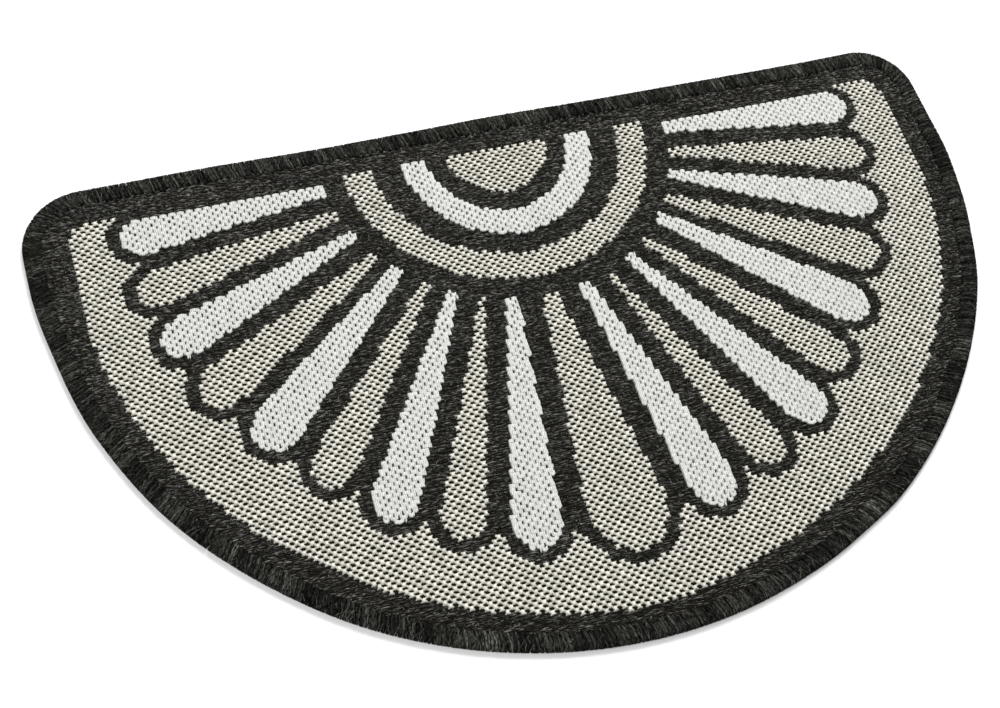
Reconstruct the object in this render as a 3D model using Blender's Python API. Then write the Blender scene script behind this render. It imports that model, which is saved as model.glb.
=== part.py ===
"""A half-round woven doormat whose cut edge is overlocked with thick black yarn.

Metres, +Z up. +X runs along the straight edge and +Y points at it. The mat lies on z = 0, with the
origin under the middle of its bounding box.
"""

import math

import bmesh
import bpy
from mathutils import Vector

MM = 0.001

# Outline: a half disc, a short straight side at each end of it, and a long straight edge
WIDTH = 750 * MM
SIDE_LENGTH = 75 * MM
RIGHT_CORNER_RADIUS = 45 * MM
LEFT_CORNER_RADIUS = 52 * MM

# How far the cut edge strays outwards from that outline, as a hand-guided cut does.
# Columns: distance along the outline from the middle of the straight edge, by way of the right
# corner, and outward stray, both in mm.
EDGE_STRAY = (
    (0, -0.5),
    (120, -2.0),
    (270, -2.5),
    (375, -1.0),
    (430, -0.5),
    (480, 2.0),
    (540, 4.0),
    (600, 6.5),
    (730, 5.5),
    (800, 5.5),
    (860, 3.0),
    (930, 2.0),
    (1120, 1.0),
    (1220, 1.0),
    (1310, 0.0),
    (1390, 0.5),
    (1470, -1.0),
    (1545, -3.0),
    (1600, -1.5),
    (1730, -1.0),
    (1800, -0.5),
    (1910, -2.0),
    (1975, -1.5),
)

# Stations along each stretch of the outline
HALF_EDGE_STEPS = 16
CORNER_STEPS = 12
SIDE_STEPS = 2
ROUND_STEPS = 108

# Thickness of the cloth, and of its cut rim, which the overlocking squeezes
CLOTH_THICKNESS = 4.8 * MM
RIM_THICKNESS = 2.6 * MM
SHOULDER_DROP = 0.6 * MM
SHOULDER_WIDTH = 1.4 * MM

# The overlocked band: a yarn layer over, around and under the rim
BAND_THICKNESS = 5.4 * MM
BAND_WIDTH = 13.5 * MM
BAND_INNER_DROP = 0.5 * MM
NOSE_REACH = 2.4 * MM
NOSE_WALL = 2.1 * MM
NOSE_STEPS = 6
CLEARANCE = 0.3 * MM

# Unevenness of the band. Columns: waves around the mat, size of the wave in mm, phase in radians.
WIDTH_WAVES = ((17, 0.5, 0.4), (41, 0.4, 2.1))
CROWN_WAVES = ((29, 0.14, 1.2), (47, 0.10, 0.3))

# Shallow cockles of the cloth's top. Columns: wave length in mm, heading in degrees, size in mm.
COCKLES = ((310, 20, 0.14), (190, 105, 0.10), (420, 70, 0.12))
TOP_RINGS = 5
TOP_CENTRE_SHIFT = 30 * MM

CLOTH_COLOUR = (0.60, 0.58, 0.52, 1.0)
BAND_COLOUR = (0.022, 0.020, 0.018, 1.0)
CLOTH_ROUGHNESS = 0.85
BAND_ROUGHNESS = 0.80


def clear_scene():
    for scene_object in list(bpy.data.objects):
        bpy.data.objects.remove(scene_object, do_unlink=True)


def straight_stretch(start, end, steps):
    """Points and outward normals from start up to, but not including, end, clockwise from above."""
    heading = (end - start).normalized()
    normal = Vector((-heading.y, heading.x))
    return [(start.lerp(end, step / steps), normal, (end - start).length / steps) for step in range(steps)]


def arc_stretch(centre, radius, first_angle, sweep, steps):
    """Points and outward normals of an arc that turns clockwise from first_angle."""
    stretch = []
    for step in range(steps):
        angle = first_angle - sweep * step / steps
        normal = Vector((math.cos(angle), math.sin(angle)))
        stretch.append((centre + normal * radius, normal, radius * sweep / steps))
    return stretch


def nominal_outline():
    """The even outline, with its straight edge on y = 0 and its round side towards -Y."""
    half = WIDTH / 2
    quarter_turn = math.pi / 2
    right = RIGHT_CORNER_RADIUS
    left = LEFT_CORNER_RADIUS
    stations = straight_stretch(Vector((0, 0)), Vector((half - right, 0)), HALF_EDGE_STEPS)
    stations += arc_stretch(Vector((half - right, -right)), right, quarter_turn, quarter_turn, CORNER_STEPS)
    stations += straight_stretch(Vector((half, -right)), Vector((half, -SIDE_LENGTH)), SIDE_STEPS)
    stations += arc_stretch(Vector((0, -SIDE_LENGTH)), half, 0, math.pi, ROUND_STEPS)
    stations += straight_stretch(Vector((-half, -SIDE_LENGTH)), Vector((-half, -left)), SIDE_STEPS)
    stations += arc_stretch(Vector((left - half, -left)), left, math.pi, quarter_turn, CORNER_STEPS)
    stations += straight_stretch(Vector((left - half, 0)), Vector((0, 0)), HALF_EDGE_STEPS)
    return stations


def edge_stray(along, total):
    """Outward stray at a distance along the outline, eased from each row of the table to the next."""
    rows = EDGE_STRAY + ((total / MM, EDGE_STRAY[0][1]),)
    for (start, stray), (end, next_stray) in zip(rows, rows[1:]):
        if along / MM <= end:
            share = (along / MM - start) / (end - start)
            eased = share * share * (3 - 2 * share)
            return (stray + (next_stray - stray) * eased) * MM
    return EDGE_STRAY[0][1] * MM


def wave_sum(waves, share):
    """Sum of whole waves around the outline, at a share from 0 to 1 of its length."""
    return sum(size * MM * math.sin(math.tau * count * share + phase) for count, size, phase in waves)


def strayed_outline():
    """The real cut edge: a list of (point, outward normal, share of the length)."""
    stations = nominal_outline()
    total = sum(step for _, _, step in stations)
    edge = []
    along = 0.0
    for point, normal, step in stations:
        edge.append((point + normal * edge_stray(along, total), normal, along / total))
        along += step
    return edge


def centred(edge):
    """The edge moved so that the middle of its bounding box is the origin."""
    xs = [point.x for point, _, _ in edge]
    ys = [point.y for point, _, _ in edge]
    middle = Vector(((min(xs) + max(xs)) / 2, (min(ys) + max(ys)) / 2))
    return [(point - middle, normal, share) for point, normal, share in edge]


def ring_at(edge, inset, height):
    """Corners of the mat's edge moved inwards by inset(share) and lifted to height(share)."""
    ring = []
    for point, normal, share in edge:
        place = point - normal * inset(share)
        ring.append(Vector((place.x, place.y, height(share))))
    return ring


def constant(value):
    return lambda share: value


def band_width(share):
    return BAND_WIDTH + wave_sum(WIDTH_WAVES, share)


def cockle(x, y):
    """Height of the shallow cockles at a place on the cloth."""
    height = 0.0
    for length, heading, size in COCKLES:
        angle = math.radians(heading)
        run = x * math.cos(angle) + y * math.sin(angle)
        height += size * MM * math.sin(math.tau * run / (length * MM))
    return height


def loft(name, rings, closed_section):
    """One mesh through the rings in turn. An open section ends in a flat cap at each end."""
    mesh = bmesh.new()
    loops = [[mesh.verts.new(corner) for corner in ring] for ring in rings]
    pairs = list(zip(loops, loops[1:]))
    if closed_section:
        pairs.append((loops[-1], loops[0]))
    for lower, upper in pairs:
        for here in range(len(lower)):
            there = (here + 1) % len(lower)
            mesh.faces.new((lower[here], lower[there], upper[there], upper[here]))
    if not closed_section:
        mesh.faces.new(loops[0])
        tip = mesh.verts.new(sum((vert.co for vert in loops[-1]), Vector()) / len(loops[-1]))
        for here in range(len(loops[-1])):
            mesh.faces.new((loops[-1][here], loops[-1][(here + 1) % len(loops[-1])], tip))
    bmesh.ops.recalc_face_normals(mesh, faces=mesh.faces)
    data = bpy.data.meshes.new(name)
    mesh.to_mesh(data)
    mesh.free()
    return data


def woven_mat_rings(edge):
    """From the flat underside, around the squeezed rim, up to the shoulder and in over the top."""
    rim_base = (BAND_THICKNESS - RIM_THICKNESS) / 2
    rim_top = rim_base + RIM_THICKNESS
    rim_inset = constant(NOSE_WALL + CLEARANCE)
    shoulder = CLOTH_THICKNESS - SHOULDER_DROP

    def body_inset(share):
        return band_width(share) + CLEARANCE

    def shoulder_inset(share):
        return body_inset(share) + SHOULDER_WIDTH

    rings = [
        ring_at(edge, body_inset, constant(0.0)),
        ring_at(edge, body_inset, constant(rim_base)),
        ring_at(edge, rim_inset, constant(rim_base)),
        ring_at(edge, rim_inset, constant(rim_top)),
        ring_at(edge, body_inset, constant(rim_top)),
        ring_at(edge, body_inset, constant(shoulder)),
    ]
    outer = ring_at(edge, shoulder_inset, constant(CLOTH_THICKNESS))
    centre = Vector((0, TOP_CENTRE_SHIFT, CLOTH_THICKNESS))
    for step in range(TOP_RINGS):
        ring = [corner.lerp(centre, step / TOP_RINGS) for corner in outer]
        for corner in ring:
            corner.z += cockle(corner.x, corner.y)
        rings.append(ring)
    return rings


def edge_binding_rings(edge):
    """The band's section: a round nose, the layer over the rim and the layer under it."""
    middle = BAND_THICKNESS / 2
    gap_base = (BAND_THICKNESS - RIM_THICKNESS) / 2 - CLEARANCE
    gap_top = BAND_THICKNESS - gap_base

    def crown(share):
        return wave_sum(CROWN_WAVES, share)

    rings = []
    for step in range(NOSE_STEPS + 1):
        angle = math.pi * step / NOSE_STEPS
        inset = NOSE_REACH * (1 - math.sin(angle))
        height = middle * (1 - math.cos(angle))
        lift = step / NOSE_STEPS
        rings.append(ring_at(edge, constant(inset), lambda share, h=height, k=lift: h + crown(share) * k))
    top_inner = BAND_THICKNESS - BAND_INNER_DROP
    mid_inset = (NOSE_REACH + BAND_WIDTH) / 2
    rings.append(ring_at(edge, constant(mid_inset), lambda share: BAND_THICKNESS + crown(share)))
    rings.append(ring_at(edge, band_width, constant(top_inner)))
    rings.append(ring_at(edge, band_width, constant(gap_top)))
    rings.append(ring_at(edge, constant(NOSE_WALL), constant(gap_top)))
    rings.append(ring_at(edge, constant(NOSE_WALL), constant(gap_base)))
    rings.append(ring_at(edge, band_width, constant(gap_base)))
    rings.append(ring_at(edge, band_width, constant(0.0)))
    return rings


def plain_material(name, colour, roughness):
    material = bpy.data.materials.new(name)
    material.use_nodes = True
    shader = material.node_tree.nodes["Principled BSDF"]
    shader.inputs["Base Color"].default_value = colour
    shader.inputs["Roughness"].default_value = roughness
    shader.inputs["Metallic"].default_value = 0.0
    return material


def add_object(name, data, material, collection):
    data.materials.append(material)
    data.shade_smooth()
    data.set_sharp_from_angle(angle=math.radians(35))
    part = bpy.data.objects.new(name, data)
    collection.objects.link(part)
    return part


def main():
    clear_scene()
    collection = bpy.data.collections.new("half_round_doormat")
    bpy.context.scene.collection.children.link(collection)
    edge = centred(strayed_outline())
    cloth = loft("woven_mat", woven_mat_rings(edge), closed_section=False)
    band = loft("edge_binding", edge_binding_rings(edge), closed_section=True)
    cloth_material = plain_material("woven_cloth", CLOTH_COLOUR, CLOTH_ROUGHNESS)
    band_material = plain_material("overlock_yarn", BAND_COLOUR, BAND_ROUGHNESS)
    add_object("woven_mat", cloth, cloth_material, collection)
    add_object("edge_binding", band, band_material, collection)


main()
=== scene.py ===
"""Looks of the half-round woven doormat: its cloth, yarn by yarn, and its overlocked edge.

The cloth is built on the weave's grid of columns and rows. Formulas say which yarn shows in each cell.
"""

import math

import bpy
import numpy as np
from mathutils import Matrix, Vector


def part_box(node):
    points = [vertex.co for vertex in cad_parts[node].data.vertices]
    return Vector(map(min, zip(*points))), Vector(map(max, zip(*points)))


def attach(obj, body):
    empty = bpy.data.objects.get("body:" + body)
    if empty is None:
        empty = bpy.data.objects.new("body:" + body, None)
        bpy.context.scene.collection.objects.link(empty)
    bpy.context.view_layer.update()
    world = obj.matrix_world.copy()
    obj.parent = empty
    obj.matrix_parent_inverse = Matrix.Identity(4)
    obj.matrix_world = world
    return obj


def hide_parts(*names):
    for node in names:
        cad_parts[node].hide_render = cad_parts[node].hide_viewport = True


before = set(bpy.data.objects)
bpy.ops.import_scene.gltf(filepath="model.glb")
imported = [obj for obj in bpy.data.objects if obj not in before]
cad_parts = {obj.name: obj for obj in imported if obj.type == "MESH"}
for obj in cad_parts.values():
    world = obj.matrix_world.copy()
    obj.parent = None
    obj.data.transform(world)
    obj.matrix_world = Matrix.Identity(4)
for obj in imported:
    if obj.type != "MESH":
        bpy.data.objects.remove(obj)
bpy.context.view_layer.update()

MM = 0.001
BODY = "root"
SEED = 20

# The figure is drawn in its own mm, +x right and +y up the page. MAT_MIDDLE_MM is where the middle of
# the mat lies in it, and FIGURE_SCALE how long one of its mm is on the mat.
MAT_MIDDLE_MM = (2.6, -223.95)
FIGURE_SCALE = 0.9955

# Camera, in the photograph's frame of 1000 by 708: place in figure mm, turn about X, Y and Z in degrees
CAMERA_PLACE_MM = (-343.34, -716.38, 1044.73)
CAMERA_TURN = (28.574, -7.048, -17.438)
LENS_MM = 57.38
SENSOR_MM = 36.0

# Weave: distance between columns and between rows, and where the first of each lies in the figure
COLUMN_MM = 3.3595
ROW_MM = 2.8568
COLUMN_START_MM = -30.6
ROW_START_MM = -224.1
HALF_COLUMNS = 120
HALF_ROWS = 85

# Yarns of the figure
BLACK, ECRU, WHITE = 0, 1, 2

# The cloth gives a little more in some directions. Columns: direction from the field's centre in
# degrees, its spread, and how far the field's rim lies further out there, in mm
FIELD_GIVES = (
    (-22.0, 21.0, 6.5),
    (-90.0, 9.5, 3.0),
    (-160.0, 23.0, 3.0),
)

# The figure, in mm: an ecru field with a black border, a fan of petals and rings in the fan's centre.
# A petal's tip is PETAL_TIP_LENGTH of its outer half widths long, and PETAL_TIP_POWER rounds it.
FIGURE_MIDDLE_X = 3.8
FIELD_TOP_Y = -28.5
FIELD_RADIUS = 342.0
FIELD_CENTRE_Y = -80.5
FIELD_CORNER = 16.0
FAN_CENTRE_Y = -25.0
FAN_TOP_Y = -33.5
PETAL_START = 144.0
PETAL_OUTLINE = 9.0
PETAL_TIP_LENGTH = 1.3
PETAL_TIP_POWER = 2.1
NOTCH_DEPTH = 16.0
RING_CENTRE_X = 2.6
RING_CENTRE_Y = -26.0

# Half of the petals, from the middle one outwards; the other half mirrors them.
# Columns: angle from straight down in degrees, tip radius, half width inside, half width outside, how
# far the inside end lies nearer to straight down, yarn
PETALS = (
    (0.0, 360.5, 6.5, 30.0, 0.0, ECRU),
    (11.9, 349.5, 5.0, 18.5, 0.5, WHITE),
    (21.1, 344.0, 2.0, 16.5, 0.5, ECRU),
    (29.9, 341.0, 4.0, 17.5, 0.0, WHITE),
    (38.9, 330.0, 3.5, 16.5, 1.0, ECRU),
    (48.2, 326.0, 5.0, 18.5, 0.0, WHITE),
    (57.8, 323.5, 4.5, 18.0, 4.0, ECRU),
    (67.0, 317.5, 4.0, 17.0, 3.0, WHITE),
    (76.0, 312.0, 4.0, 16.0, 3.0, ECRU),
    (85.2, 307.0, 7.0, 16.0, 0.0, WHITE),
)

# Columns: inner radius, outer radius, stretch down the page, yarn
RINGS = (
    (0.0, 42.5, 1.045, ECRU),
    (58.5, 79.5, 1.06, WHITE),
    (102.5, 126.0, 0.99, ECRU),
)

# Heights in the cloth, in mm above the floor
GROUND_BASE = 0.7
GROUND_TOP = 3.0
YARN_BASE = 2.6
ECRU_CREST = 4.9
WHITE_CREST = 4.8
BLACK_CREST = 4.45

# Painted shade: tone of a yarn where it dips deepest into the cloth, as a share of its tone on top
DEEP_PAINTED_SHADE = 0.62

# Corners of the CAD band this near to the middle of its height, in mm, are the mat's outline. They are
# rounded to so many decimals of a metre, so that each one counts once.
OUTLINE_REACH = 0.4
OUTLINE_DECIMALS = 6

rng = np.random.default_rng(SEED)


def figure_to_row(x, y):
    """Figure mm to row-frame metres."""
    scale = FIGURE_SCALE * MM
    return (np.asarray(x) - MAT_MIDDLE_MM[0]) * scale, (np.asarray(y) - MAT_MIDDLE_MM[1]) * scale


def in_petal(radius, angle, petal, grow):
    """Whether places given by radius and angle from straight down lie in one petal, grown all round."""
    heading, tip, inner_half, outer_half, inner_shift, _ = petal
    turn = angle - math.radians(heading)
    along = radius * np.cos(turn)
    tip_length = PETAL_TIP_LENGTH * outer_half
    shoulder = tip - tip_length
    share = np.clip((along - PETAL_START) / (shoulder - PETAL_START), 0, 1)
    across = np.abs(radius * np.sin(turn) + inner_shift * (1 - share))
    past = np.clip((along - shoulder) / (tip_length + grow), 0, 1)
    half = (inner_half + (outer_half - inner_half) * share + grow) * np.sqrt(1 - past**PETAL_TIP_POWER)
    return (along > PETAL_START - grow) & (across < half)


def in_field(x, y):
    """Whether places lie in the half-round field. x is measured from the figure's middle."""
    side = np.abs(x)
    around = np.degrees(np.arctan2(y - FIELD_CENTRE_Y, x))
    gives = [give * np.exp(-(((around - middle) / width) ** 2)) for middle, width, give in FIELD_GIVES]
    in_round = np.hypot(x, y - FIELD_CENTRE_Y) < FIELD_RADIUS + sum(gives)
    field = (y < FIELD_TOP_Y) & np.where(y < FIELD_CENTRE_Y, in_round, side < FIELD_RADIUS)
    corner_x = FIELD_RADIUS - FIELD_CORNER
    corner_y = FIELD_TOP_Y - FIELD_CORNER
    in_corner = (side > corner_x) & (y > corner_y)
    return field & ~(in_corner & (np.hypot(side - corner_x, y - corner_y) > FIELD_CORNER))


def yarn_at(x, y):
    """The yarn that shows at places in figure mm."""
    x = x - FIGURE_MIDDLE_X
    yarn = np.full(x.shape, BLACK)
    yarn[in_field(x, y)] = ECRU

    radius = np.hypot(x, y - FAN_CENTRE_Y)
    angle = np.arctan2(np.abs(x), FAN_CENTRE_Y - y)
    tips = np.interp(np.degrees(angle), [petal[0] for petal in PETALS], [petal[1] for petal in PETALS])
    dark = radius < tips - NOTCH_DEPTH
    for petal in PETALS:
        dark |= in_petal(radius, angle, petal, PETAL_OUTLINE)
    yarn[dark] = BLACK
    for petal in PETALS:
        top = FAN_TOP_Y if petal[-1] == WHITE else FIELD_TOP_Y
        yarn[in_petal(radius, angle, petal, 0.0) & (y < top)] = petal[-1]
    for inner, outer, stretch, ring_yarn in RINGS:
        distance = np.hypot(x + FIGURE_MIDDLE_X - RING_CENTRE_X, (y - RING_CENTRE_Y) / stretch)
        yarn[(distance >= inner) & (distance < outer) & (y < FIELD_TOP_Y)] = ring_yarn
    return yarn


def cut_edge():
    """The mat's outline, in row-frame metres: the corners where the band's nose reaches furthest out."""
    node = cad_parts["edge_binding"]
    corners = np.array([vertex.co for vertex in node.data.vertices])
    low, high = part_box("edge_binding")
    middle = (low.z + high.z) / 2
    nose = corners[np.abs(corners[:, 2] - middle) < OUTLINE_REACH * MM][:, :2]
    nose = np.unique(np.round(nose, OUTLINE_DECIMALS), axis=0)
    turn = np.arctan2(nose[:, 1], nose[:, 0])
    return nose[np.argsort(-turn)]


def runs_along(edge):
    """The corners of the closed edge, the first one again at the end, and how far along it each lies."""
    loop = np.vstack([edge, edge[:1]])
    return loop, np.concatenate([[0], np.cumsum(np.hypot(*np.diff(loop, axis=0).T))])


def spaced_edge(edge, count):
    """Points evenly spaced along the closed edge, with their outward normals and heading."""
    loop, run = runs_along(edge)
    places = np.linspace(0, run[-1], count, endpoint=False)
    points = np.stack([np.interp(places, run, loop[:, axis]) for axis in (0, 1)], 1)
    heading = np.roll(points, -2, axis=0) - np.roll(points, 2, axis=0)
    heading /= np.linalg.norm(heading, axis=1)[:, None]
    normal = np.stack([-heading[:, 1], heading[:, 0]], 1)
    return points, normal, heading


def distance_inside(edge, x, y):
    """How far places in row-frame metres lie inside the edge, negative outside it."""
    ends = np.roll(edge, -1, axis=0)
    side = ends - edge
    length = np.hypot(side[:, 0], side[:, 1])
    inside = np.full(np.shape(x), np.inf)
    for start, along, size in zip(edge, side / length[:, None], length):
        dx = x - start[0]
        dy = y - start[1]
        run = np.clip(dx * along[0] + dy * along[1], 0, size)
        away = np.hypot(dx - run * along[0], dy - run * along[1])
        left = along[0] * dy - along[1] * dx
        nearer = away < np.abs(inside)
        inside = np.where(nearer, np.where(left < 0, away, -away), inside)
    return inside


def mesh_object(name, corners, faces, marks=None, smooth=True):
    """An object from an array of corners and a list of arrays of faces, each array with one face size.

    marks is an array of three numbers per corner, kept as the colour attribute "yarn": the yarn's tone,
    and the mm across and along it. Floats' tones hold painted shade where they lie low in the cloth.
    """
    data = bpy.data.meshes.new(name)
    data.vertices.add(len(corners))
    data.vertices.foreach_set("co", np.ascontiguousarray(corners, np.float32).ravel())
    flat = np.concatenate([part.ravel() for part in faces]).astype(np.int32)
    sizes = np.concatenate([np.full(len(part), part.shape[1]) for part in faces])
    starts = np.concatenate([[0], np.cumsum(sizes)[:-1]]).astype(np.int32)
    data.loops.add(len(flat))
    data.loops.foreach_set("vertex_index", flat)
    data.polygons.add(len(starts))
    data.polygons.foreach_set("loop_start", starts)
    data.update(calc_edges=True)
    data.validate()
    if smooth:
        data.shade_smooth()
    if marks is not None:
        attribute = data.color_attributes.new("yarn", "FLOAT_COLOR", "POINT")
        colours = np.concatenate([marks, np.ones((len(marks), 1))], axis=1)
        attribute.data.foreach_set("color", colours.astype(np.float32).ravel())
    piece = bpy.data.objects.new(name, data)
    bpy.context.scene.collection.objects.link(piece)
    return piece


def loft_arrays(path, side, up, half_width, height, section):
    """Corners, faces and marks of many lofted yarns at once.

    path, side and up have the shape (yarns, stations, 3), half_width and height (yarns, stations).
    section is a closed ring of (across, above) pairs.
    """
    yarns, stations = half_width.shape
    ring = len(section)
    across = np.array([point[0] for point in section])
    above = np.array([point[1] for point in section])
    corners = (
        path[:, :, None, :]
        + side[:, :, None, :] * (half_width[:, :, None] * across)[..., None]
        + up[:, :, None, :] * (height[:, :, None] * above)[..., None]
    )
    index = np.arange(yarns * stations * ring).reshape(yarns, stations, ring)
    here = index[:, :-1, :]
    ahead = index[:, 1:, :]
    quads = np.stack([here, ahead, np.roll(ahead, -1, 2), np.roll(here, -1, 2)], -1).reshape(-1, 4)
    caps = np.concatenate([index[:, 0, :], index[:, -1, ::-1]])
    step = np.linalg.norm(np.diff(path, axis=1), axis=2)
    along = np.concatenate([np.zeros((yarns, 1)), np.cumsum(step, axis=1)], axis=1)
    marks_across = np.broadcast_to((half_width[:, :, None] * across), (yarns, stations, ring))
    marks_along = np.broadcast_to(along[:, :, None], (yarns, stations, ring))
    return corners.reshape(-1, 3), [quads, caps], marks_across / MM, marks_along / MM


def lofted_piece(name, path, side, up, half_width, height, section, tone, smooth=True):
    """One piece of many lofted yarns. tone is one number for each station of each yarn."""
    corners, faces, across, along = loft_arrays(path, side, up, half_width, height, section)
    tones = np.broadcast_to(tone[..., None], across.shape)
    marks = np.stack([tones.ravel(), across.ravel(), along.ravel()], 1)
    return mesh_object(name, corners, faces, marks, smooth)


def half_round_section(points):
    """The upper half of a round yarn, closed by a flat base."""
    angles = np.linspace(math.pi, 0, points)
    return [(math.cos(angle), math.sin(angle)) for angle in angles]


def round_section(points):
    """A round yarn."""
    angles = math.pi - np.arange(points) * math.tau / points
    return [(math.cos(angle), math.sin(angle)) for angle in angles]


FLAT_TOP = [(-1.0, 0.0), (-0.96, 0.92), (-0.80, 1.0), (0.80, 1.0), (0.96, 0.92), (1.0, 0.0)]
THIN_TOP = half_round_section(4)
RIDGE_TOP = half_round_section(3)
STITCH_ROUND = round_section(5)
FIBRE_ROUND = round_section(3)


def cell_grid(edge):
    """Columns, rows, places in figure mm, yarns and insets in metres of all cells of the weave."""
    columns, rows = np.meshgrid(
        np.arange(-HALF_COLUMNS, HALF_COLUMNS + 1), np.arange(-HALF_ROWS, HALF_ROWS + 1)
    )
    x = COLUMN_START_MM + columns * COLUMN_MM
    y = ROW_START_MM - rows * ROW_MM
    row_x, row_y = figure_to_row(x, y)
    inset = distance_inside(edge, row_x, row_y)
    return columns, rows, x, y, yarn_at(x, y), inset


def place_yarns(x, y, angle, along, aside):
    """Centre lines through places in figure mm, turned by angle, from mm along and aside at each station."""
    row_x, row_y = figure_to_row(x, y)
    turn_x = np.cos(angle)[:, None]
    turn_y = np.sin(angle)[:, None]
    path = np.zeros((len(x), along.shape[1], 3))
    path[..., 0] = row_x[:, None] + (along * turn_x - aside * turn_y) * MM
    path[..., 1] = row_y[:, None] + (along * turn_y + aside * turn_x) * MM
    side = np.zeros_like(path)
    side[..., 0] = -turn_y
    side[..., 1] = turn_x
    up = np.zeros_like(path)
    up[..., 2] = 1.0
    return path, side, up


def float_pieces(
    name, x, y, angle, profile, half_length, half_width, crest, base, tone, section, bend=None, smooth=True,
):
    """Floats of one yarn as one piece.

    Sizes are in mm, one for each float. The profile's columns are the share of the half length, mm
    aside, the share of the half width and the share of the crest's height above the base. bend
    multiplies the mm aside of each float. Where the height share is low, the tone is darkened as
    painted shade.
    """
    shape = np.array(profile)
    along = half_length[:, None] * shape[:, 0]
    aside = np.broadcast_to(shape[:, 1], along.shape)
    if bend is not None:
        aside = aside * bend[:, None]
    path, side, up = place_yarns(x, y, angle, along, aside)
    path[..., 2] = base * MM
    widths = half_width[:, None] * shape[:, 2] * MM
    heights = (crest - base)[:, None] * shape[:, 3] * MM
    # Painted shade: each station's tone is darkened where the yarn lies low in the cloth
    painted_depth_shade = DEEP_PAINTED_SHADE + (1 - DEEP_PAINTED_SHADE) * shape[:, 3]
    return lofted_piece(name, path, side, up, widths, heights, section, tone[:, None] * painted_depth_shade, smooth)


def scatter(count, size, low=-np.inf, high=np.inf):
    """Normally spread numbers about zero, of a given size and cut off at so many sizes low and high."""
    return size * rng.standard_normal(count).clip(low, high)


def spread(count, middle, share):
    """A number for each yarn about a middle value, off by a share of it."""
    return middle * (1 + scatter(count, share, low=-2, high=2))


def mostly_dark(count, darkest, reach, power):
    """Tones from the darkest to reach above it. The power says how few of them are light."""
    return darkest + reach * rng.random(count) ** power


def drifting(count, reach, size):
    """A number about 1 for each yarn in turn, that drifts with about reach neighbours on each side."""
    window = np.hanning(2 * reach + 1)
    window /= np.sqrt((window**2).sum())
    steps = rng.standard_normal(count + 2 * reach)
    return np.exp(size * np.convolve(steps, window, "valid"))


# Ecru yarns run slantwise from knot to knot, two crossing under each knot's short float.
# For this and every other kind of yarn: _INSET is how far from the cut edge it starts, _TURN its angle
# from the rows, and _STRAY how much one yarn differs from the next. Where nothing else is said, lengths,
# and strays of places and crests, are in mm, turns are in degrees, and all other strays are shares.
ECRU_INSET = 15.5
ECRU_TONE = 0.93
ECRU_TONE_STRAY = 0.08

ECRU_KNOT = (
    (-1.0, 0.0, 0.55, 0.35),
    (-0.42, 0.0, 1.0, 0.97),
    (0.42, 0.0, 1.0, 0.97),
    (1.0, 0.0, 0.55, 0.35),
)
ECRU_KNOT_HALF_LENGTH = 1.90
ECRU_KNOT_HALF_WIDTH = 1.50
ECRU_KNOT_SIZE_STRAY = 0.06
ECRU_KNOT_X_STRAY = 0.15
ECRU_KNOT_Y_STRAY = 0.12
ECRU_KNOT_CREST_STRAY = 0.10
ECRU_KNOT_TURN = 90.0
ECRU_KNOT_TURN_STRAY = 12.0

ECRU_LINK = (
    (-1.0, 0.0, 0.90, 0.50),
    (0.0, 0.0, 1.0, 1.0),
    (1.0, 0.0, 0.90, 0.50),
)
ECRU_LINK_HALF_LENGTH = 2.6
ECRU_LINK_LENGTH_STRAY = 0.04
ECRU_LINK_HALF_WIDTH = 1.25
ECRU_LINK_WIDTH_STRAY = 0.08
ECRU_LINK_TURN = 42.0
ECRU_LINK_TURN_STRAY = 3.0
ECRU_LINK_CREST = ECRU_CREST - 0.55
ECRU_LINK_CREST_STRAY = 0.05
# Painted shade: the links lie lower than the knots and take this share of the knots' tone
ECRU_LINK_PAINTED_SHADE = 0.9

# Widths of the links that fall and of those that rise to the right, as shares of the half width
ECRU_LINK_WIDTHS = (1.12, 0.9)


def ecru_knots(cells, groups):
    """Ecru cloth: short upright floats on every other cell, each over two crossing links."""
    columns, rows, x, y, yarn, inset = cells
    pieces = []
    shown = (yarn == ECRU) & ((columns + rows) % 2 == 1) & (inset > ECRU_INSET * MM)
    for name, belongs in groups(x, y):
        chosen = shown & belongs
        count = int(chosen.sum())
        knot_x = x[chosen] + scatter(count, ECRU_KNOT_X_STRAY)
        knot_y = y[chosen] + scatter(count, ECRU_KNOT_Y_STRAY)
        tone = spread(count, ECRU_TONE, ECRU_TONE_STRAY)
        turn = np.radians(ECRU_KNOT_TURN + scatter(count, ECRU_KNOT_TURN_STRAY))
        length = spread(count, ECRU_KNOT_HALF_LENGTH, ECRU_KNOT_SIZE_STRAY)
        width = spread(count, ECRU_KNOT_HALF_WIDTH, ECRU_KNOT_SIZE_STRAY)
        crest = ECRU_CREST + scatter(count, ECRU_KNOT_CREST_STRAY)
        pieces.append(
            float_pieces(
                name + "_knots", knot_x, knot_y, turn, ECRU_KNOT, length, width, crest, YARN_BASE, tone,
                THIN_TOP,
            )
        )

        links = 2 * count
        turn = np.repeat([-ECRU_LINK_TURN, ECRU_LINK_TURN], count) + scatter(links, ECRU_LINK_TURN_STRAY)
        length = spread(links, ECRU_LINK_HALF_LENGTH, ECRU_LINK_LENGTH_STRAY)
        width = spread(links, ECRU_LINK_HALF_WIDTH, ECRU_LINK_WIDTH_STRAY)
        width *= np.repeat(ECRU_LINK_WIDTHS, count)
        crest = ECRU_LINK_CREST + scatter(links, ECRU_LINK_CREST_STRAY)
        # The links' tone is the knots' tone darkened as painted shade
        pieces.append(
            float_pieces(
                name + "_links", np.tile(knot_x, 2), np.tile(knot_y, 2), np.radians(turn), ECRU_LINK, length,
                width, crest, YARN_BASE, ECRU_LINK_PAINTED_SHADE * np.tile(tone, 2), RIDGE_TOP,
            )
        )
    return pieces


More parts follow.
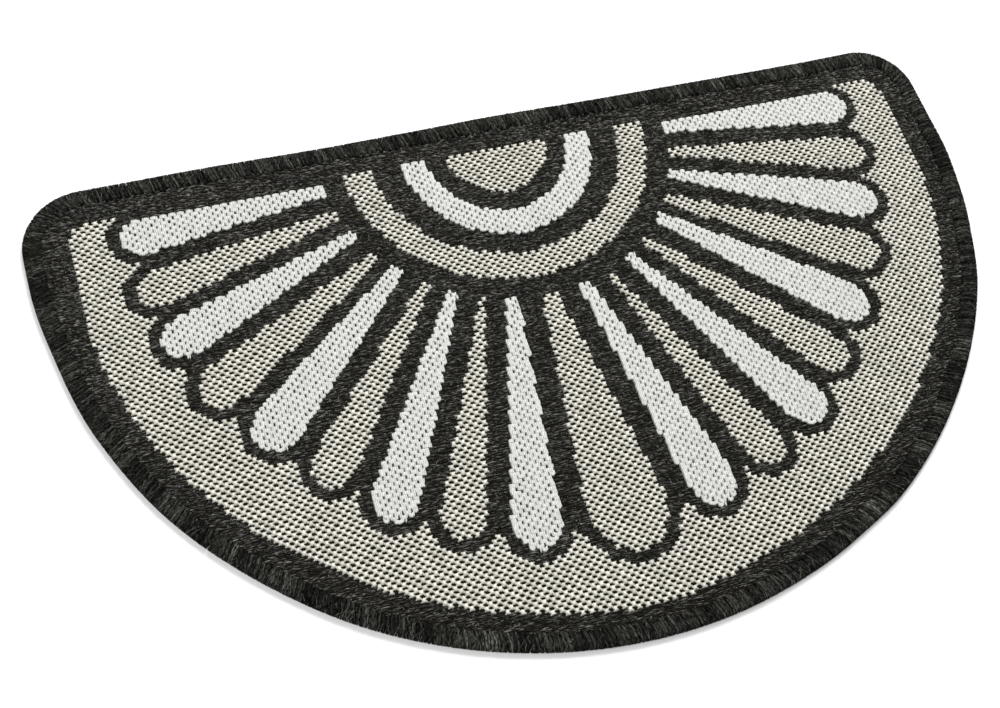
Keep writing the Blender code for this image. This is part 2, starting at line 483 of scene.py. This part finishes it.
def runs_of(mask):
    """(row, first column, last column) of each unbroken run of True in the rows of a mask."""
    padded = np.pad(mask, ((0, 0), (1, 1)))
    change = np.diff(padded.astype(int), axis=1)
    starts = np.argwhere(change == 1)
    ends = np.argwhere(change == -1)
    return [(row, first, last - 1) for (row, first), (_, last) in zip(starts, ends)]


# White yarn floats from slit to slit; where a white area ends above or below, its floats arch out
WHITE_FLOAT = (
    (-1.0, -0.90, 0.85, 0.14),
    (-0.84, -0.40, 1.0, 0.97),
    (0.0, 0.40, 0.86, 1.0),
    (0.84, -0.40, 1.0, 0.97),
    (1.0, -0.90, 0.85, 0.14),
)
WHITE_HALF_WIDTH = 1.75
WHITE_WIDTH_STRAY = 0.04
WHITE_X_STRAY = 0.2
WHITE_Y_STRAY = 0.12
WHITE_CREST_STRAY = 0.04
WHITE_TURN = -4.0
WHITE_TURN_STRAY = 3.0
WHITE_TONE = 0.86
WHITE_TONE_STRAY = 0.03

# Gap at each end of a white float and that gap's stray, in mm, and its shortest length, in columns
WHITE_END_GAP = 0.25
WHITE_END_STRAY = 0.08
WHITE_SHORTEST = 0.6

# Arch of a float with no white below it, against one with none above it
LOWER_BEND = -1.8


def white_spans(cells):
    """Places in figure mm, half lengths in mm and bends of the white floats, from slit to slit."""
    columns, rows, x, y, yarn, _ = cells
    white = yarn == WHITE
    above = np.roll(white, 2, axis=0)
    below = np.roll(white, -2, axis=0)
    spans = []
    for row, first, last in runs_of(white):
        in_slit = (columns[row] + rows[row]) % 2 == 1
        slits = [column for column in range(first, last + 1) if in_slit[column]]
        ends = [first - 0.5, *slits, last + 0.5]
        if len(ends) > 3 and ends[1] - ends[0] < WHITE_SHORTEST:
            del ends[1]
        if len(ends) > 3 and ends[-1] - ends[-2] < WHITE_SHORTEST:
            del ends[-2]
        for start, end in zip(ends, ends[1:]):
            middle = (start + end) / 2
            column = int(round(middle))
            bend = (not above[row, column]) + LOWER_BEND * (not below[row, column])
            half = (end - start) / 2 * COLUMN_MM
            spans.append((x[row, 0] + middle * COLUMN_MM, y[row, 0], half, bend))
    return np.array(spans).T


def white_floats(cells, groups):
    """White cloth: broad flat floats side by side."""
    middle_x, middle_y, half, bends = white_spans(cells)
    pieces = []
    for name, belongs in groups(middle_x, middle_y):
        count = int(belongs.sum())
        turn = np.radians(WHITE_TURN + scatter(count, WHITE_TURN_STRAY))
        place_x = middle_x[belongs] + scatter(count, WHITE_X_STRAY)
        place_y = middle_y[belongs] + scatter(count, WHITE_Y_STRAY)
        length = half[belongs] - WHITE_END_GAP + scatter(count, WHITE_END_STRAY)
        width = spread(count, WHITE_HALF_WIDTH, WHITE_WIDTH_STRAY)
        crest = WHITE_CREST + scatter(count, WHITE_CREST_STRAY)
        tone = spread(count, WHITE_TONE, WHITE_TONE_STRAY)
        pieces.append(
            float_pieces(
                name, place_x, place_y, turn, WHITE_FLOAT, length, width, crest, YARN_BASE, tone, FLAT_TOP,
                bends[belongs], smooth=False,
            )
        )
    return pieces


STREAK_PROFILE = (
    (-1.0, 0.0, 0.45, 0.2),
    (0.0, 0.0, 1.0, 1.0),
    (1.0, 0.0, 0.45, 0.2),
)
STREAK_INSET = 13.0
STREAK_HALF_WIDTH = 0.70
STREAK_WIDTH_STRAY = 0.22
STREAK_Y_STRAY = 0.30
STREAK_CREST_STRAY = 0.38
STREAK_TURN_STRAY = 5.0
STREAK_TONE = 0.90
STREAK_TONE_STRAY = 0.65

# Lengths of the black floats in columns. One that would end more than STREAK_SLACK past the middle of
# its run's last column is the last of the run, and ends STREAK_PAST beyond there.
STREAK_SHORTEST = 0.9
STREAK_LONGEST = 2.6
STREAK_SLACK = 0.3
STREAK_PAST = 0.6

# How far each black float dips under the next one, in mm
STREAK_OVERLAP = 0.5


def black_spans(cells):
    """Places in figure mm and half lengths in mm of the black floats, two beside each other in a row."""
    _, _, x, y, yarn, inset = cells
    spans = []
    for row, first, last in runs_of((yarn == BLACK) & (inset > STREAK_INSET * MM)):
        for side in (-1, 1):
            start = first - 0.5 - 0.5 * rng.random()
            while start < last + STREAK_PAST:
                end = start + rng.uniform(STREAK_SHORTEST, STREAK_LONGEST)
                if end > last + STREAK_SLACK:
                    end = last + STREAK_PAST
                middle = x[row, 0] + ((start + end) / 2) * COLUMN_MM
                half = (end - start) / 2 * COLUMN_MM + STREAK_OVERLAP
                spans.append((middle, y[row, 0] + side * ROW_MM / 4, half))
                start = end
    return np.array(spans).T


def black_streaks(cells, groups):
    """Black cloth: thin floats along the rows, each some columns long."""
    middle_x, middle_y, half = black_spans(cells)
    pieces = []
    for name, belongs in groups(middle_x, middle_y):
        count = int(belongs.sum())
        tone = STREAK_TONE * np.exp(scatter(count, STREAK_TONE_STRAY, low=-2, high=2))
        place_y = middle_y[belongs] + scatter(count, STREAK_Y_STRAY)
        turn = scatter(count, np.radians(STREAK_TURN_STRAY))
        width = spread(count, STREAK_HALF_WIDTH, STREAK_WIDTH_STRAY)
        crest = BLACK_CREST + scatter(count, STREAK_CREST_STRAY, low=-2, high=1.6)
        pieces.append(
            float_pieces(
                name, middle_x[belongs], place_y, turn, STREAK_PROFILE, half[belongs], width, crest,
                YARN_BASE, tone, RIDGE_TOP,
            )
        )
    return pieces


KNOB_PROFILE = (
    (-1.0, 0.0, 0.5, 0.3),
    (0.0, 0.0, 1.0, 1.0),
    (1.0, 0.0, 0.5, 0.3),
)
KNOB_INSET = 14.5
KNOB_HALF_LENGTH = 1.0
KNOB_HALF_WIDTH = 0.75
KNOB_SIZE_STRAY = 0.2
KNOB_PLACE_STRAY = 0.3
KNOB_BASE = YARN_BASE + 0.6
KNOB_CREST = BLACK_CREST + 0.35
KNOB_CREST_STRAY = 0.2
KNOB_DARKEST = 0.10
KNOB_TONE_REACH = 0.75
KNOB_TONE_POWER = 2.4

# Share of every other cell that has a knob, its place in the cell, in columns and rows, and the stray
# of its angle from the rows, in radians
KNOB_SHARE = 0.50
KNOB_COLUMN_SHIFT = 0.4
KNOB_ROW_SHIFT = 0.25
KNOB_TURN_STRAY = 0.4


def black_knobs(cells):
    """Short raised floats in the black cloth, where the lower layer is tied up."""
    columns, rows, x, y, yarn, inset = cells
    chosen = (yarn == BLACK) & (inset > KNOB_INSET * MM) & ((columns + rows) % 2 == 0)
    chosen &= rng.random(x.shape) < KNOB_SHARE
    count = int(chosen.sum())
    tone = mostly_dark(count, KNOB_DARKEST, KNOB_TONE_REACH, KNOB_TONE_POWER)
    place_x = x[chosen] + KNOB_COLUMN_SHIFT * COLUMN_MM + scatter(count, KNOB_PLACE_STRAY)
    place_y = y[chosen] + KNOB_ROW_SHIFT * ROW_MM + scatter(count, KNOB_PLACE_STRAY)
    turn = scatter(count, KNOB_TURN_STRAY)
    length = spread(count, KNOB_HALF_LENGTH, KNOB_SIZE_STRAY)
    width = spread(count, KNOB_HALF_WIDTH, KNOB_SIZE_STRAY)
    crest = KNOB_CREST + scatter(count, KNOB_CREST_STRAY)
    return float_pieces(
        "black_knobs", place_x, place_y, turn, KNOB_PROFILE, length, width, crest, KNOB_BASE, tone, THIN_TOP,
    )


SPECK_PROFILE = (
    (-1.0, 0.0, 0.4, 0.6),
    (0.0, 0.0, 1.0, 1.0),
    (1.0, 0.0, 0.4, 0.6),
)
SPECK_INSET = 14.0
SPECK_HALF_LENGTH = 0.70
SPECK_LENGTH_STRAY = 0.3
SPECK_HALF_WIDTH = 0.32
SPECK_WIDTH_STRAY = 0.25
SPECK_BASE = YARN_BASE + 1.4
SPECK_CREST = BLACK_CREST + 0.45
SPECK_CREST_STRAY = 0.15
SPECK_DARKEST = 0.2
SPECK_TONE_REACH = 1.5
SPECK_TONE_POWER = 2.0

# Share of the cells that have a speck, the stray of its place in the cell, in columns and rows, and the
# furthest it turns from the rows, in radians
SPECK_SHARE = 0.42
SPECK_COLUMN_STRAY = 0.3
SPECK_ROW_STRAY = 0.4
SPECK_TURN = 1.5


def grey_specks(cells):
    """Tiny glints of fibre between the black floats."""
    _, _, x, y, yarn, inset = cells
    chosen = (yarn == BLACK) & (inset > SPECK_INSET * MM) & (rng.random(x.shape) < SPECK_SHARE)
    count = int(chosen.sum())
    tone = mostly_dark(count, SPECK_DARKEST, SPECK_TONE_REACH, SPECK_TONE_POWER)
    place_x = x[chosen] + scatter(count, SPECK_COLUMN_STRAY * COLUMN_MM)
    place_y = y[chosen] + scatter(count, SPECK_ROW_STRAY * ROW_MM)
    turn = rng.uniform(-SPECK_TURN, SPECK_TURN, count)
    length = spread(count, SPECK_HALF_LENGTH, SPECK_LENGTH_STRAY)
    width = spread(count, SPECK_HALF_WIDTH, SPECK_WIDTH_STRAY)
    crest = SPECK_CREST + scatter(count, SPECK_CREST_STRAY)
    return float_pieces(
        "grey_specks", place_x, place_y, turn, SPECK_PROFILE, length, width, crest, SPECK_BASE, tone,
        RIDGE_TOP,
    )


def halves(prefix):
    """A way to split yarns into a left and a right piece."""
    def split(x, y):
        return [(prefix + "_left", x < FIGURE_MIDDLE_X), (prefix + "_right", x >= FIGURE_MIDDLE_X)]
    return split


# Radius in figure mm, from the fan's centre, that parts the ecru cloth of the fan from that around it
FAN_REACH = 300


def ecru_groups(x, y):
    """The ecru cloth in three pieces: inside the fan, and around it on the left and on the right."""
    rim = np.hypot(x - FIGURE_MIDDLE_X, y - FAN_CENTRE_Y) >= FAN_REACH
    return [
        ("ecru_fan", ~rim),
        ("ecru_rim_left", rim & (x < FIGURE_MIDDLE_X)),
        ("ecru_rim_right", rim & (x >= FIGURE_MIDDLE_X)),
    ]


# Path of one overlock stitch. Columns: inset from the cut edge, height, and lean along the edge, in mm
STITCH_PATH = (
    (14.0, 3.8, 3.0),
    (12.6, 4.75, 2.5),
    (9.5, 5.15, 1.6),
    (5.5, 5.2, 0.6),
    (2.4, 4.8, 0.1),
    (0.75, 3.7, 0.0),
    (0.7, 1.7, 0.0),
    (2.6, 0.8, 0.3),
    (8.0, 0.75, 1.0),
    (13.4, 0.8, 1.8),
)
STITCH_SPACING = 1.7
STITCH_HALF_WIDTH = 0.95
STITCH_WIDTH_STRAY = 0.12
STITCH_HALF_THICKNESS = 0.58
STITCH_THICKNESS_STRAY = 0.08
STITCH_PLACE_STRAY = 0.25
STITCH_REACH_STRAY = 0.04
STITCH_LEAN_STRAY = 0.15
STITCH_TONE_STRAY = 0.55

# The stitches' tone also drifts by this share, with about so many stitches on each side
STITCH_TONE_DRIFT = 0.28
STITCH_DRIFT_REACH = 9

# Path of one loose fibre lying over the stitches, in the same columns
FIBRE_PATH = (
    (12.5, 5.0, 1.0),
    (7.0, 5.6, 0.3),
    (2.6, 5.3, -0.2),
    (0.55, 4.1, -0.3),
)
FIBRE_COUNT = 2600
FIBRE_HALF_WIDTH = 0.17
FIBRE_WIDTH_STRAY = 0.25
FIBRE_HALF_THICKNESS = 0.15
FIBRE_THICKNESS_STRAY = 0.1
FIBRE_PLACE_STRAY = 0.5
FIBRE_SHORTEST = 0.55
FIBRE_LONGEST = 1.05
FIBRE_LEAN_STRAY = 3.5
FIBRE_DARKEST = 0.4
FIBRE_TONE_REACH = 7.0
FIBRE_TONE_POWER = 3.0

# How far inside the cut edge every path starts. Path points above WOUND_LOWER stray in height, while
# those below it lie squeezed under the mat. In mm.
WOUND_INSET = 0.15
WOUND_LOWER = 1.0
WOUND_HEIGHT_STRAY = 0.14


def wound_yarns(name, points, normal, heading, shape, reach_by, lean_by, half_width, thick, section, tone):
    """Yarns wound over the edge at each point. shape lists inset, height and lean in mm.

    reach_by and lean_by change the inset and the lean of each yarn. thick is half its thickness.
    """
    count = len(points)
    shape = np.array(shape)
    inset = shape[:, 0] * reach_by[:, None] + WOUND_INSET
    height_stray = np.where(shape[:, 1] > WOUND_LOWER, WOUND_HEIGHT_STRAY, 0.0)
    height = shape[:, 1] + height_stray * rng.standard_normal((count, 1))
    lean = shape[:, 2] * lean_by[:, None]
    path = np.zeros((count, len(shape), 3))
    path[..., :2] = (
        points[:, None, :]
        - normal[:, None, :] * inset[..., None] * MM
        + heading[:, None, :] * lean[..., None] * MM
    )
    path[..., 2] = height * MM
    tangent = np.gradient(path, axis=1)
    tangent /= np.linalg.norm(tangent, axis=2)[..., None]
    side = np.zeros_like(path)
    side[..., :2] = heading[:, None, :]
    side -= tangent * (side * tangent).sum(2)[..., None]
    side /= np.linalg.norm(side, axis=2)[..., None]
    up = np.cross(side, tangent)
    widths = np.broadcast_to(half_width[:, None] * MM, (count, len(shape)))
    heights = np.broadcast_to(thick[:, None] * MM, (count, len(shape)))
    tones = np.broadcast_to(tone[:, None], (count, len(shape)))
    return lofted_piece(name, path, side, up, widths, heights, section, tones)


def overlock(edge):
    """The overlocked edge: one stitch of thick yarn after the other, over and round the rim."""
    count = int(round(runs_along(edge)[1][-1] / (STITCH_SPACING * MM)))
    points, normal, heading = spaced_edge(edge, count)
    points = points + heading * (STITCH_PLACE_STRAY * MM) * rng.standard_normal((count, 1))
    reach_by = 1 + scatter(count, STITCH_REACH_STRAY, low=-1.5, high=1.5)
    lean_by = 1 + scatter(count, STITCH_LEAN_STRAY)
    width = spread(count, STITCH_HALF_WIDTH, STITCH_WIDTH_STRAY)
    thick = spread(count, STITCH_HALF_THICKNESS, STITCH_THICKNESS_STRAY)
    tone = drifting(count, STITCH_DRIFT_REACH, STITCH_TONE_DRIFT)
    tone *= np.exp(scatter(count, STITCH_TONE_STRAY, low=-2, high=1.6))
    return wound_yarns(
        "overlock_stitches", points, normal, heading, STITCH_PATH, reach_by, lean_by, width, thick,
        STITCH_ROUND, tone,
    )


def loose_fibres(edge):
    """Single fibres that lie more or less aslant over the stitches."""
    points, normal, heading = spaced_edge(edge, FIBRE_COUNT)
    points = points + heading * (FIBRE_PLACE_STRAY * MM) * rng.standard_normal((FIBRE_COUNT, 1))
    reach_by = rng.uniform(FIBRE_SHORTEST, FIBRE_LONGEST, FIBRE_COUNT)
    lean_by = scatter(FIBRE_COUNT, FIBRE_LEAN_STRAY, low=-2, high=2)
    width = spread(FIBRE_COUNT, FIBRE_HALF_WIDTH, FIBRE_WIDTH_STRAY)
    thick = spread(FIBRE_COUNT, FIBRE_HALF_THICKNESS, FIBRE_THICKNESS_STRAY)
    tone = mostly_dark(FIBRE_COUNT, FIBRE_DARKEST, FIBRE_TONE_REACH, FIBRE_TONE_POWER)
    return wound_yarns(
        "overlock_fibres", points, normal, heading, FIBRE_PATH, reach_by, lean_by, width, thick,
        FIBRE_ROUND, tone,
    )


# Section of the cloth from its underside to its top. Columns: inset from the cut edge, height, in mm
GROUND_SECTION = (
    (14.6, GROUND_BASE),
    (14.0, 1.5),
    (3.0, 1.5),
    (3.0, 3.2),
    (14.0, 3.2),
    (14.6, GROUND_TOP),
)
GROUND_POINTS = 300

# Rings of corners across the flat middle, and the first and the last of them as shares of the ring
# where the section starts
GROUND_RINGS = 8
GROUND_INNERMOST = 0.05
GROUND_OUTERMOST = 0.90


def ground_cloth(edge):
    """The cloth below the floats: one closed sheet, thin at the rim that the yarn is wound over."""
    points, normal, _ = spaced_edge(edge, GROUND_POINTS)
    section = []
    for inset, height in GROUND_SECTION:
        ring = np.zeros((GROUND_POINTS, 3))
        ring[:, :2] = points - normal * inset * MM
        ring[:, 2] = height * MM
        section.append(ring)
    shares = np.linspace(GROUND_INNERMOST, GROUND_OUTERMOST, GROUND_RINGS)
    underside = [section[0] * (share, share, 1.0) for share in shares]
    top = [section[-1] * (share, share, 1.0) for share in shares[::-1]]
    rings = underside + section + top
    index = np.arange(len(rings) * GROUND_POINTS).reshape(len(rings), GROUND_POINTS)
    around = np.roll(index, -1, axis=1)
    quads = np.stack([index[1:], around[1:], around[:-1], index[:-1]], -1).reshape(-1, 4)
    caps = np.stack([index[0], index[-1, ::-1]])
    corners = np.concatenate(rings)
    marks = np.concatenate([np.ones((index.size, 1)), corners[:, :2] / MM], axis=1)
    return mesh_object("ground_cloth", corners, [quads, caps], marks, smooth=False)


# Ribs on the underside, one along each row. The roots' height is in mm above the floor, and each
# rib's start moves by the stagger, in columns, one way in even rows and the other in odd ones.
RIB_INSET = 15.2
RIB_ROOT = 0.95
RIB_HALF_WIDTH = 1.30
RIB_STAGGER = 0.25
RIB_TONE = 0.95
RIB_TONE_STRAY = 0.08


def underside_ribs(cells):
    """The back of the cloth, where each yarn lies that the front hides: ecru under black, else black."""
    _, _, x, y, yarn, inset = cells
    pieces = []
    for name, mask in (("underside_ecru", yarn == BLACK), ("underside_black", yarn != BLACK)):
        runs = np.array(runs_of(mask & (inset > RIB_INSET * MM)))
        row, first, last = runs.T
        stagger = RIB_STAGGER * np.where(row % 2, 1, -1)
        middle = x[row, 0] + (first + last) / 2 * COLUMN_MM
        half = ((last - first) / 2 + 0.5) * COLUMN_MM
        along = np.stack([-half + stagger * COLUMN_MM, half], 1)
        path, side, up = place_yarns(middle, y[row, 0], np.zeros(len(runs)), along, np.zeros_like(along))
        path[..., 2] = RIB_ROOT * MM
        widths = np.full(along.shape, RIB_HALF_WIDTH * MM)
        down_to_floor = np.full(along.shape, RIB_ROOT * MM / THIN_TOP[1][1])
        tone = np.repeat(spread(len(runs), RIB_TONE, RIB_TONE_STRAY)[:, None], 2, axis=1)
        pieces.append(lofted_piece(name, path, -side, -up, widths, down_to_floor, THIN_TOP, tone))
    return pieces


# Looks of the yarns. Colour is a yarn's lit tone and shade a darker one, mixed by the fibres' texture,
# and contrast sharpens the mix. Fibre_scale is how many fibres lie in a mm across the yarn and along
# it, and strand_mm how wide the strands are that cross the yarn, where it has such.
YARN_LOOKS = {
    "ecru_yarn": dict(
        colour=(0.90, 0.88, 0.80), shade=(0.58, 0.56, 0.48), roughness=0.75,
        fibre_scale=(1.6, 0.5), bump=0.5, gloss=0.3,
    ),
    "white_yarn": dict(
        colour=(0.82, 0.82, 0.79), shade=(0.42, 0.42, 0.40), roughness=0.75,
        fibre_scale=(0.4, 0.9), bump=0.9, gloss=0.3, strand_mm=1.45,
    ),
    "black_yarn": dict(
        colour=(0.120, 0.118, 0.107), shade=(0.003, 0.003, 0.002), roughness=0.65,
        fibre_scale=(1.6, 0.9), bump=0.6, gloss=0.02, contrast=2.4,
    ),
    "grey_yarn": dict(
        colour=(0.22, 0.22, 0.21), shade=(0.08, 0.08, 0.075), roughness=0.6,
        fibre_scale=(1.5, 1.5), bump=0.5, gloss=0.3,
    ),
    # Ground: the black yarn under the floats, its colour set far darker than the black yarn's as painted
    # shade in the holes
    "ground_yarn_and_painted_shade": dict(
        colour=(0.011, 0.010, 0.007), shade=(0.006, 0.006, 0.004), roughness=0.9,
        fibre_scale=(1.0, 1.0), bump=0.3, gloss=0.0,
    ),
    "edge_yarn": dict(
        colour=(0.036, 0.036, 0.031), shade=(0.001, 0.001, 0.001), roughness=0.65,
        fibre_scale=(1.2, 0.4), bump=0.9, gloss=0.01, contrast=2.6,
    ),
    "back_ecru_yarn": dict(
        colour=(0.66, 0.64, 0.56), shade=(0.10, 0.095, 0.08), roughness=0.8,
        fibre_scale=(1.6, 0.6), bump=0.8, gloss=0.2, contrast=1.2, strand_mm=COLUMN_MM,
    ),
    "back_black_yarn": dict(
        colour=(0.060, 0.058, 0.052), shade=(0.006, 0.006, 0.005), roughness=0.8,
        fibre_scale=(1.6, 0.6), bump=0.8, gloss=0.1, contrast=1.2, strand_mm=COLUMN_MM,
    ),
}

# How deep the fibres' texture goes at full bump, in mm
RELIEF_DEPTH = 0.2

# Half the range of the texture that the mix of colour and shade covers at a contrast of 1
MIX_HALF_RANGE = 0.35

# Distance in the noise between yarns whose tones differ by 1, so that no two yarns look alike
TONE_SPACING = 53.0

# How unevenly crossing strands lie, in radians, and how strongly they show
STRAND_UNEVENNESS = 7.0
STRAND_STRENGTH = 0.22


def shader_tree(name):
    material = bpy.data.materials.new(name)
    material.use_nodes = True
    tree = material.node_tree
    return material, tree, tree.nodes["Principled BSDF"]


def calculated(tree, operation, *inputs):
    """The output of a math node whose inputs are numbers or the outputs of other nodes."""
    node = tree.nodes.new("ShaderNodeMath")
    node.operation = operation
    for socket, value in zip(node.inputs, inputs):
        if isinstance(value, float):
            socket.default_value = value
        else:
            tree.links.new(value, socket)
    return node.outputs["Value"]


def crossing_strands(tree, along, noise, strand_mm):
    """A texture of strands side by side along the yarn, made uneven by the noise."""
    turns = calculated(tree, "MULTIPLY", along, math.tau / strand_mm)
    uneven = calculated(tree, "MULTIPLY_ADD", noise, STRAND_UNEVENNESS, turns)
    wave = calculated(tree, "SINE", uneven)
    return calculated(tree, "MULTIPLY_ADD", wave, STRAND_STRENGTH, noise)


def yarn_material(name, colour, shade, roughness, fibre_scale, bump, gloss, contrast=1.0, strand_mm=None):
    """Spun yarn, with its texture placed by the marks that mesh_object keeps."""
    material, tree, shader = shader_tree(name)
    nodes = tree.nodes
    links = tree.links
    marks = nodes.new("ShaderNodeAttribute")
    marks.attribute_name = "yarn"
    split = nodes.new("ShaderNodeSeparateColor")
    links.new(marks.outputs["Color"], split.inputs["Color"])
    # Red is the yarn's tone, with painted shade where floats lie low; green and blue are mm across and along
    tone, across, along = (split.outputs[channel] for channel in ("Red", "Green", "Blue"))

    fibre_place = nodes.new("ShaderNodeCombineXYZ")
    links.new(calculated(tree, "MULTIPLY", across, fibre_scale[0]), fibre_place.inputs["X"])
    links.new(calculated(tree, "MULTIPLY", along, fibre_scale[1]), fibre_place.inputs["Y"])
    links.new(calculated(tree, "MULTIPLY", tone, TONE_SPACING), fibre_place.inputs["Z"])
    fibres = nodes.new("ShaderNodeTexNoise")
    fibres.inputs["Scale"].default_value = 1.0
    fibres.inputs["Detail"].default_value = 3.0
    links.new(fibre_place.outputs["Vector"], fibres.inputs["Vector"])
    texture = fibres.outputs["Fac"]
    if strand_mm:
        texture = crossing_strands(tree, along, texture, strand_mm)

    sharpened = nodes.new("ShaderNodeMapRange")
    sharpened.inputs["From Min"].default_value = 0.5 - MIX_HALF_RANGE / contrast
    sharpened.inputs["From Max"].default_value = 0.5 + MIX_HALF_RANGE / contrast
    links.new(texture, sharpened.inputs["Value"])
    mix = nodes.new("ShaderNodeMix")
    mix.data_type = "RGBA"
    mix.inputs["A"].default_value = (*shade, 1.0)
    mix.inputs["B"].default_value = (*colour, 1.0)
    links.new(sharpened.outputs["Result"], mix.inputs["Factor"])
    toned = nodes.new("ShaderNodeVectorMath")
    toned.operation = "SCALE"
    links.new(mix.outputs["Result"], toned.inputs[0])
    links.new(tone, toned.inputs["Scale"])
    links.new(toned.outputs["Vector"], shader.inputs["Base Color"])

    shader.inputs["Roughness"].default_value = roughness
    shader.inputs["Specular IOR Level"].default_value = gloss
    relief = nodes.new("ShaderNodeBump")
    relief.inputs["Strength"].default_value = bump
    relief.inputs["Distance"].default_value = RELIEF_DEPTH * MM
    links.new(texture, relief.inputs["Height"])
    links.new(relief.outputs["Normal"], shader.inputs["Normal"])
    return material


# The floor is just below the mat. Its size and depth are in metres.
FLOOR_SIZE = 8.0
FLOOR_DEPTH = 0.0002
FLOOR_COLOUR = (0.86, 0.86, 0.86, 1.0)
FLOOR_ROUGHNESS = 0.9

# Softboxes that point at the mat's middle. Columns: name, place in metres, size in metres, power
SOFTBOXES = (
    ("softbox_back", (0.65, 1.4, 1.75), 1.1, 50.0),
    ("softbox_right", (1.45, 0.75, 1.3), 0.9, 8.0),
    ("softbox_top", (-1.1, -0.6, 1.9), 1.4, 32.0),
)
WORLD_COLOUR = (1.0, 1.0, 1.0, 1.0)
WORLD_STRENGTH = 0.28


def add_floor():
    """The pale floor that the mat lies on."""
    bpy.ops.mesh.primitive_plane_add(size=FLOOR_SIZE, location=(0.0, 0.0, -FLOOR_DEPTH))
    floor = bpy.context.object
    floor.name = "floor"
    material, _, shader = shader_tree("pale_floor")
    shader.inputs["Base Color"].default_value = FLOOR_COLOUR
    shader.inputs["Roughness"].default_value = FLOOR_ROUGHNESS
    floor.data.materials.append(material)


def add_lights():
    """The softboxes and the even light around them."""
    for name, place, size, power in SOFTBOXES:
        light = bpy.data.lights.new(name, "AREA")
        light.size = size
        light.energy = power
        lamp = bpy.data.objects.new(name, light)
        lamp.location = place
        lamp.rotation_euler = (-Vector(place)).to_track_quat("-Z", "Y").to_euler()
        bpy.context.scene.collection.objects.link(lamp)
    world = bpy.data.worlds.new("studio")
    world.use_nodes = True
    background = world.node_tree.nodes["Background"]
    background.inputs["Color"].default_value = WORLD_COLOUR
    background.inputs["Strength"].default_value = WORLD_STRENGTH
    bpy.context.scene.world = world
    bpy.context.scene.view_settings.view_transform = "Standard"


def add_camera():
    """The photograph's view."""
    data = bpy.data.cameras.new("camera")
    data.lens = LENS_MM
    data.sensor_width = SENSOR_MM
    camera = bpy.data.objects.new("camera", data)
    x, y = figure_to_row(CAMERA_PLACE_MM[0], CAMERA_PLACE_MM[1])
    camera.location = (x, y, CAMERA_PLACE_MM[2] * FIGURE_SCALE * MM)
    camera.rotation_euler = [math.radians(turn) for turn in CAMERA_TURN]
    bpy.context.scene.collection.objects.link(camera)
    bpy.context.scene.camera = camera


def dress(pieces, material):
    """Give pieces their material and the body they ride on."""
    for piece in pieces:
        piece.data.materials.append(material)
        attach(piece, BODY)


def main():
    edge = cut_edge()
    cells = cell_grid(edge)
    ground = ground_cloth(edge)
    ecru = ecru_knots(cells, ecru_groups)
    white = white_floats(cells, halves("white_floats"))
    black = black_streaks(cells, halves("black_floats"))
    greys = [black_knobs(cells), grey_specks(cells)]
    stitches = overlock(edge)
    fibres = loose_fibres(edge)
    back_ecru, back_black = underside_ribs(cells)

    yarns = {name: yarn_material(name, **look) for name, look in YARN_LOOKS.items()}
    dress([back_ecru], yarns["back_ecru_yarn"])
    dress([back_black], yarns["back_black_yarn"])
    dress(ecru, yarns["ecru_yarn"])
    dress(white, yarns["white_yarn"])
    dress(black, yarns["black_yarn"])
    dress(greys, yarns["grey_yarn"])
    dress([ground], yarns["ground_yarn_and_painted_shade"])
    dress([stitches, fibres], yarns["edge_yarn"])
    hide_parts("woven_mat")
    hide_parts("edge_binding")
    add_floor()
    add_lights()
    add_camera()


main()
